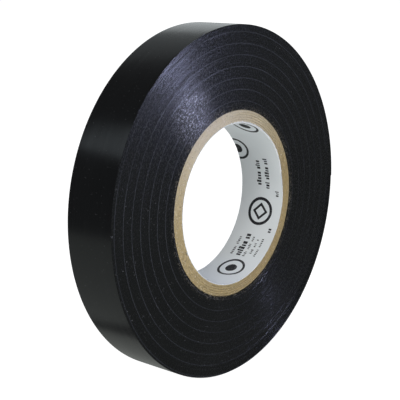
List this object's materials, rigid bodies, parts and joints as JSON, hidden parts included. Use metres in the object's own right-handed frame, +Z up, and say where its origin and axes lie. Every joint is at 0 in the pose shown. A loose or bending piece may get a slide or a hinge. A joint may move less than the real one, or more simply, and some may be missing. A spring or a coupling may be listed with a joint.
{
  "type": "electrical tape roll",
  "caption": "Upright roll of narrow black vinyl tape on a ring-shaped paperboard core with a printed paper liner, and a short tail that peels off its edge.",
  "frame": {"origin": "centre of the core's bore, halfway along the roll's axis", "axes": "+Y along the roll's axis, away from the side that is seen from the front; +Z up, with the roll on its edge; +X to the right, where the tape's cut end lies"},
  "size_m": [0.0825, 0.0126, 0.0825],
  "materials": {
    "vinyl": "satin black vinyl",
    "glue": "tacky black rubber glue",
    "board": "raw grey-brown board, cut edge",
    "liner_paper": "smooth pale paper",
    "ink": "black print on the liner"
  },
  "bodies": {
    "roll": {"core_liner": "liner_paper", "core_ply_1": "board", "core_ply_2": "board", "core_ply_3": "board", "core_ply_4": "board", "core_ply_5": "board", "wound_turns_1": "vinyl", "wound_turns_2": "vinyl", "wound_turns_3": "vinyl", "wound_turns_4": "vinyl", "wound_turns_5": "vinyl", "wound_turns_6": "vinyl", "wound_turns_7": "vinyl", "wound_turns_8": "vinyl", "last_turn_film": "vinyl", "last_turn_glue": "glue"},
    "tail_link_1": {"tail_film_1": "vinyl", "tail_glue_1": "glue"},
    "tail_link_2": {"tail_film_2": "vinyl", "tail_glue_2": "glue"},
    "tail_link_3": {"tail_film_3": "vinyl", "tail_glue_3": "glue"},
    "tail_link_4": {"tail_film_4": "vinyl", "tail_glue_4": "glue"},
    "tail_link_5": {"tail_film_5": "vinyl", "tail_glue_5": "glue"},
    "tail_link_6": {"tail_film_6": "vinyl", "tail_glue_6": "glue"}
  },
  "joints": [
    {"name": "peel_1", "type": "hinge", "parent": "roll", "child": "tail_link_1", "pos_m": [0.0207, 0, 0.03577], "axis": [0, -1, 0], "range_deg": [0, 60]},
    {"name": "peel_2", "type": "hinge", "parent": "tail_link_1", "child": "tail_link_2", "pos_m": [0.0266, 0, 0.03164], "axis": [0, -1, 0], "range_deg": [0, 24]},
    {"name": "peel_3", "type": "hinge", "parent": "tail_link_2", "child": "tail_link_3", "pos_m": [0.03169, 0, 0.02655], "axis": [0, -1, 0], "range_deg": [0, 24]},
    {"name": "peel_4", "type": "hinge", "parent": "tail_link_3", "child": "tail_link_4", "pos_m": [0.03582, 0, 0.02065], "axis": [0, -1, 0], "range_deg": [0, 24]},
    {"name": "peel_5", "type": "hinge", "parent": "tail_link_4", "child": "tail_link_5", "pos_m": [0.03886, 0, 0.01413], "axis": [0, -1, 0], "range_deg": [0, 24]},
    {"name": "peel_6", "type": "hinge", "parent": "tail_link_5", "child": "tail_link_6", "pos_m": [0.04072, 0, 0.00717], "axis": [0, -1, 0], "range_deg": [0, 24]}
  ]
}
